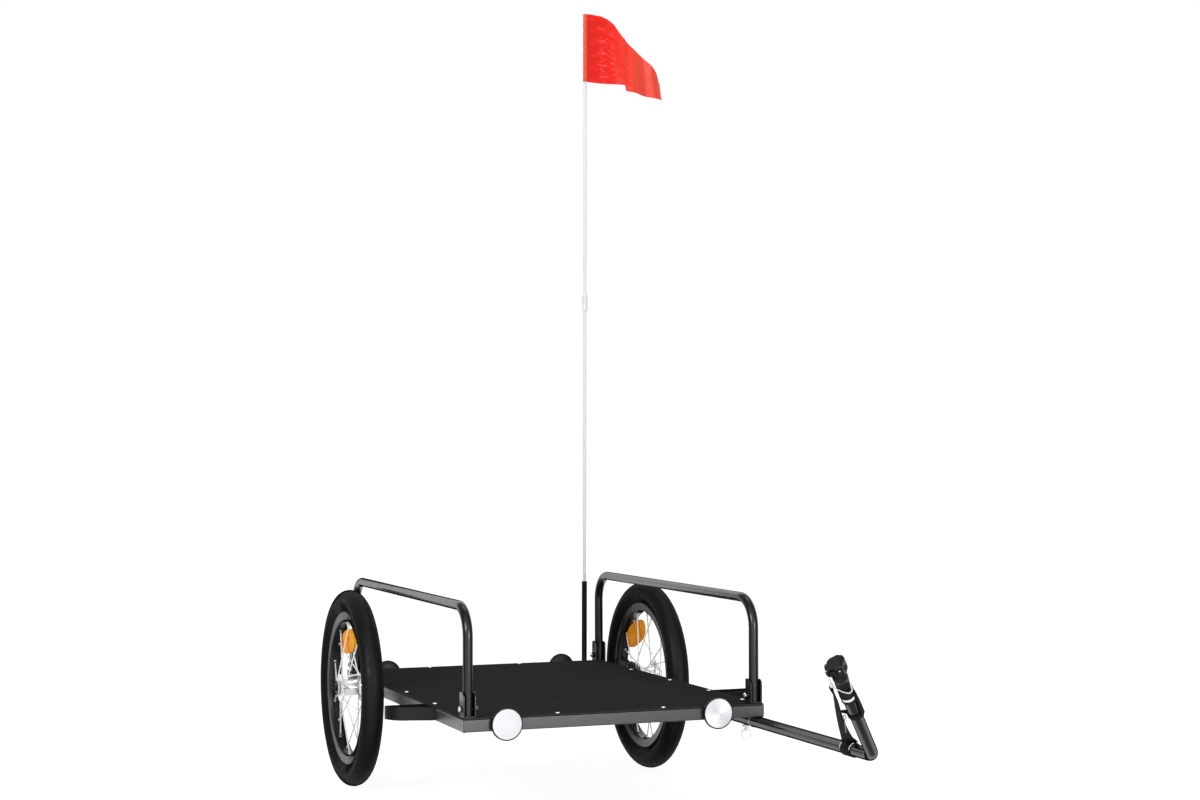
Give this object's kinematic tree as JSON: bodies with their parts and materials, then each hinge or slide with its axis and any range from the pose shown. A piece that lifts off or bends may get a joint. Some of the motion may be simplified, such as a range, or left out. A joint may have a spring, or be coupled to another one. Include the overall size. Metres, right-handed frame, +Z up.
{
  "type": "bicycle trailer",
  "caption": "Flat-deck cargo trailer towed by a bicycle, with spoked wheels, side hoops, a bent tow arm with a flexible hitch, and a safety flag",
  "frame": {"origin": "centre of the bounding box's base, on the ground plane under the trailer", "axes": "+Z up, the trailer's front (tow arm) looks along -Y, its left side is +X"},
  "size_m": [0.8297, 1.4707, 1.678],
  "materials": {
    "black_paint": "gloss black paint",
    "deck_board": "matt black, finely grained",
    "black_plastic": "satin black moulding",
    "tyre_rubber": "matt black rubber with a fine tread",
    "black_rubber": "matt black ribbed rubber",
    "bright_steel": "bright plated steel",
    "zinc_steel": "zinc-plated steel",
    "white_lens": "white reflector with fine prisms",
    "red_lens": "red reflector with fine prisms",
    "amber_lens": "amber reflector with fine prisms",
    "white_fibreglass": "white pultruded rod",
    "red_cloth": "glossy orange-red nylon",
    "black_webbing": "black woven webbing"
  },
  "bodies": {
    "frame": {"front_beam": "black_paint", "rear_beam": "black_paint", "left_side_beam": "black_paint", "right_side_beam": "black_paint", "cross_member": "black_paint", "deck_panel": "deck_board", "wheel_guard_left": "black_paint", "wheel_guard_right": "black_paint", "axle_receiver_left": "black_paint", "axle_receiver_right": "black_paint", "axle_left": "bright_steel", "axle_right": "bright_steel", "hoop_left": "black_paint", "hoop_right": "black_paint", "hoop_bracket_front_left": "black_paint", "hoop_bracket_front_right": "black_paint", "hoop_bracket_rear_left": "black_paint", "hoop_bracket_rear_right": "black_paint", "hoop_bolt_front_left": "zinc_steel", "hoop_bolt_front_right": "zinc_steel", "hoop_bolt_rear_left": "zinc_steel", "hoop_bolt_rear_right": "zinc_steel", "front_reflector_left_housing": "black_plastic", "front_reflector_left_lens": "white_lens", "front_reflector_right_housing": "black_plastic", "front_reflector_right_lens": "white_lens", "rear_reflector_left_housing": "black_plastic", "rear_reflector_left_lens": "red_lens", "rear_reflector_right_housing": "black_plastic", "rear_reflector_right_lens": "red_lens", "tow_arm": "black_paint", "arm_bolt": "zinc_steel", "arm_end_collar": "bright_steel", "flex_boot": "black_rubber", "tie_band": "black_webbing", "safety_strap": "black_webbing", "flag_holder": "black_plastic"},
    "wheel_left": {"tyre_left": "tyre_rubber", "rim_left": "black_paint", "hub_spokes_left": "bright_steel", "hub_bush_left": "zinc_steel", "spoke_reflector_left": "amber_lens"},
    "wheel_right": {"tyre_right": "tyre_rubber", "rim_right": "black_paint", "hub_spokes_right": "bright_steel", "hub_bush_right": "zinc_steel", "spoke_reflector_right": "amber_lens"},
    "button_left": {"axle_button_left": "black_plastic"},
    "button_right": {"axle_button_right": "black_plastic"},
    "lock_pin": {"arm_lock_pin": "zinc_steel"},
    "pin_ring": {"arm_pin_ring": "bright_steel"},
    "coupler": {"coupler_sleeve": "black_plastic", "hitch_pin": "black_paint"},
    "head": {"hitch_head": "black_plastic"},
    "bail": {"pin_bail": "bright_steel"},
    "mast": {"flag_pole_lower": "white_fibreglass", "flag_pole_upper": "white_fibreglass", "pole_ferrule": "white_fibreglass", "flag": "red_cloth"}
  },
  "joints": [
    {"name": "wheel_left_spin", "type": "hinge", "parent": "frame", "child": "wheel_left", "pos_m": [0.28531, 0.53118, 0.2], "axis": [1, 0, 0], "continuous": true},
    {"name": "wheel_right_spin", "type": "hinge", "parent": "frame", "child": "wheel_right", "pos_m": [-0.37069, 0.53118, 0.2], "axis": [1, 0, 0], "continuous": true},
    {"name": "axle_button_left_press", "type": "slide", "parent": "frame", "child": "button_left", "axis": [-1, 0, 0], "range_m": [0, 0.004], "stiffness_N_per_m": 500},
    {"name": "axle_button_right_press", "type": "slide", "parent": "frame", "child": "button_right", "axis": [1, 0, 0], "range_m": [0, 0.004], "stiffness_N_per_m": 500},
    {"name": "lock_pin_pull", "type": "slide", "parent": "frame", "child": "lock_pin", "axis": [0, 0, -1], "range_m": [0, 0.04]},
    {"name": "pin_ring_swing", "type": "hinge", "parent": "lock_pin", "child": "pin_ring", "pos_m": [0.24231, -0.07382, 0.1611], "axis": [1, 0, 0], "range_deg": [-70, 70]},
    {"name": "coupler_flex", "type": "hinge", "parent": "frame", "child": "coupler", "pos_m": [0.12801, -0.68084, 0.31372], "axis": [0, 0, 1], "range_deg": [-25, 25], "stiffness_Nm_per_rad": 1.5},
    {"name": "head_tilt", "type": "hinge", "parent": "coupler", "child": "head", "pos_m": [0.10155, -0.7071, 0.34474], "axis": [0.7075, -0.7067, 0.0054], "range_deg": [-40, 40]},
    {"name": "bail_swing", "type": "hinge", "parent": "coupler", "child": "bail", "pos_m": [0.10155, -0.7071, 0.34474], "axis": [0.7075, -0.7067, 0.0054], "range_deg": [-120, 0]},
    {"name": "flag_pole_lift", "type": "slide", "parent": "frame", "child": "mast", "axis": [0.0037, 0, 1], "range_m": [0, 0.18]}
  ]
}
